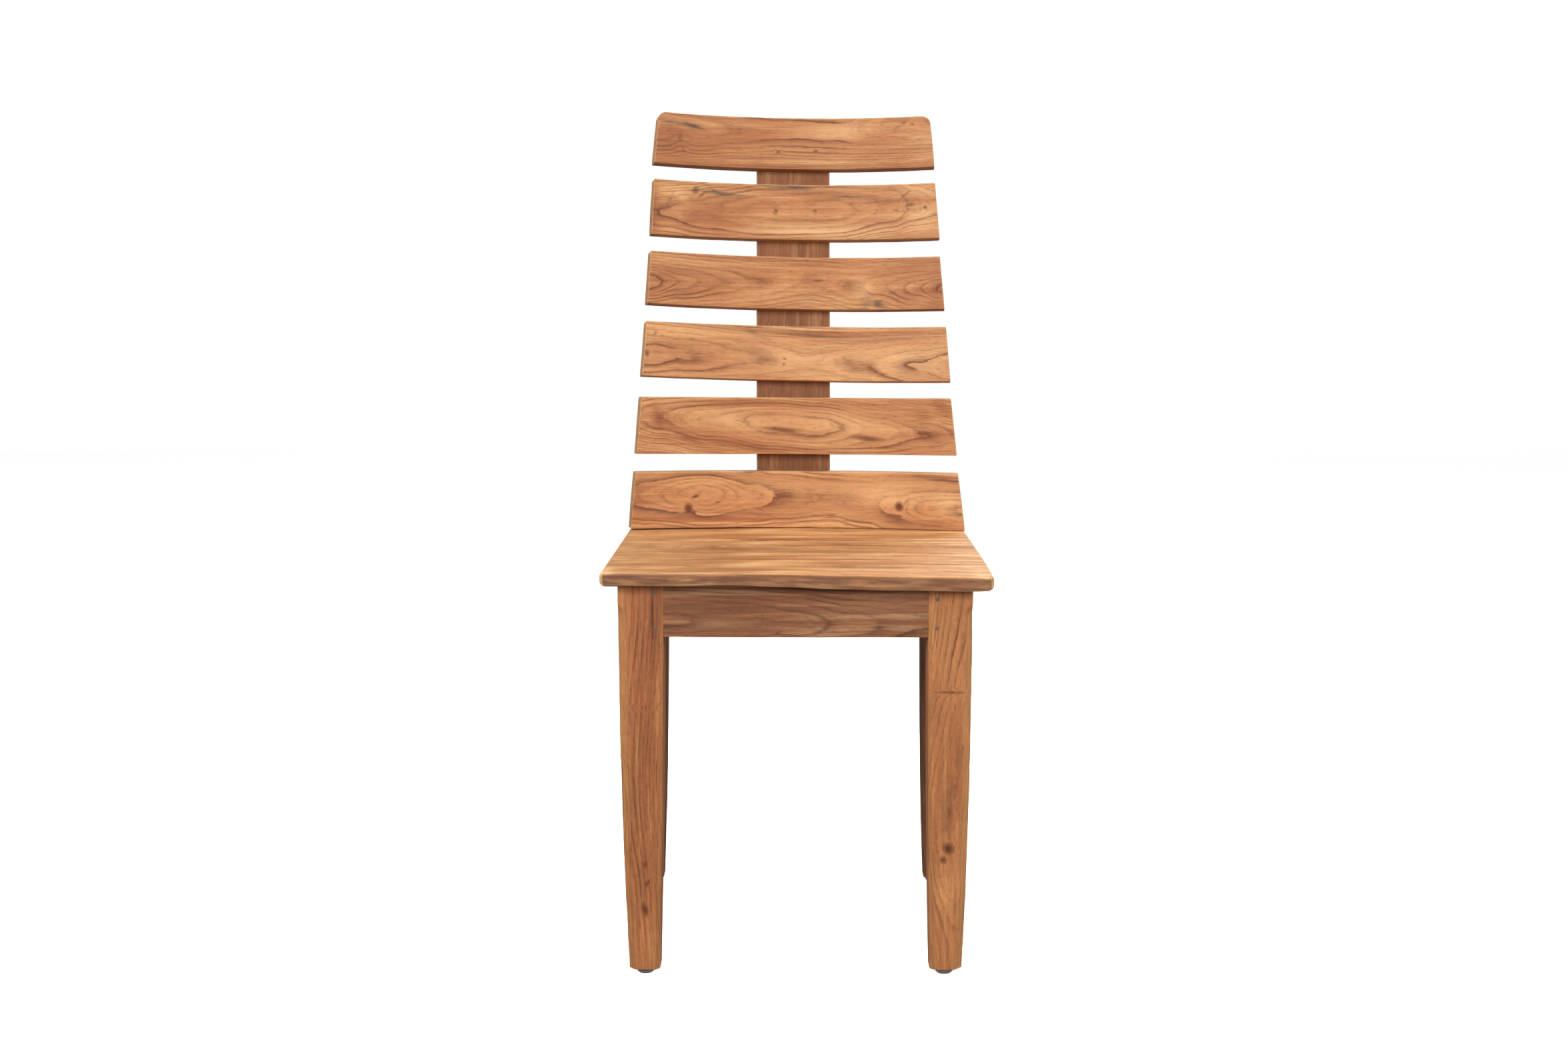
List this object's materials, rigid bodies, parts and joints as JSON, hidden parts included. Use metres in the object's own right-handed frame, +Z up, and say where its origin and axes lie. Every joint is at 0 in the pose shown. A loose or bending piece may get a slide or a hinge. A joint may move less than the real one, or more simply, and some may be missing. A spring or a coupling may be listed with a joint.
{
  "type": "dining chair",
  "caption": "Armless wooden dining chair with a fishbone back of bowed slats on a central spine, a plank seat, pegged aprons and tapered legs on glides.",
  "frame": {"origin": "on the floor, under the middle of the chair's overall box", "axes": "+Z up, the chair's longest way; the front faces -Y; +X is on the right of someone facing the chair"},
  "size_m": [0.44, 0.524, 1.0084],
  "materials": {
    "leg_teak": "oiled",
    "apron_teak": "oiled, rough",
    "seat_teak": "oiled",
    "slat_teak": "oiled",
    "peg_wood": "oiled end grain",
    "zinc_steel": "zinc plated",
    "glide_plastic": "matt"
  },
  "bodies": {
    "root": {"front_leg_left": "leg_teak", "front_leg_right": "leg_teak", "rear_leg_left": "leg_teak", "rear_leg_right": "leg_teak", "front_apron": "apron_teak", "rear_apron": "apron_teak", "side_apron_left": "apron_teak", "side_apron_right": "apron_teak", "seat_plank_1": "seat_teak", "seat_plank_2": "seat_teak", "seat_plank_3": "seat_teak", "seat_plank_4": "seat_teak", "back_spine": "leg_teak", "back_slat_1": "slat_teak", "back_slat_2": "slat_teak", "back_slat_3": "slat_teak", "back_slat_4": "slat_teak", "back_slat_5": "slat_teak", "back_slat_6": "slat_teak", "corner_block_front_left": "apron_teak", "corner_block_front_right": "apron_teak", "corner_block_rear_left": "apron_teak", "corner_block_rear_right": "apron_teak", "front_joint_pegs": "peg_wood", "side_joint_pegs": "peg_wood", "rear_joint_pegs": "peg_wood", "slat_screws": "zinc_steel", "slat_plugs": "peg_wood", "spine_screws": "zinc_steel", "spine_plugs": "peg_wood", "corner_block_screws": "zinc_steel", "seat_screws": "zinc_steel", "glide_front_left": "glide_plastic", "glide_front_right": "glide_plastic", "glide_rear_left": "glide_plastic", "glide_rear_right": "glide_plastic", "glide_nails": "zinc_steel"}
  },
  "joints": []
}
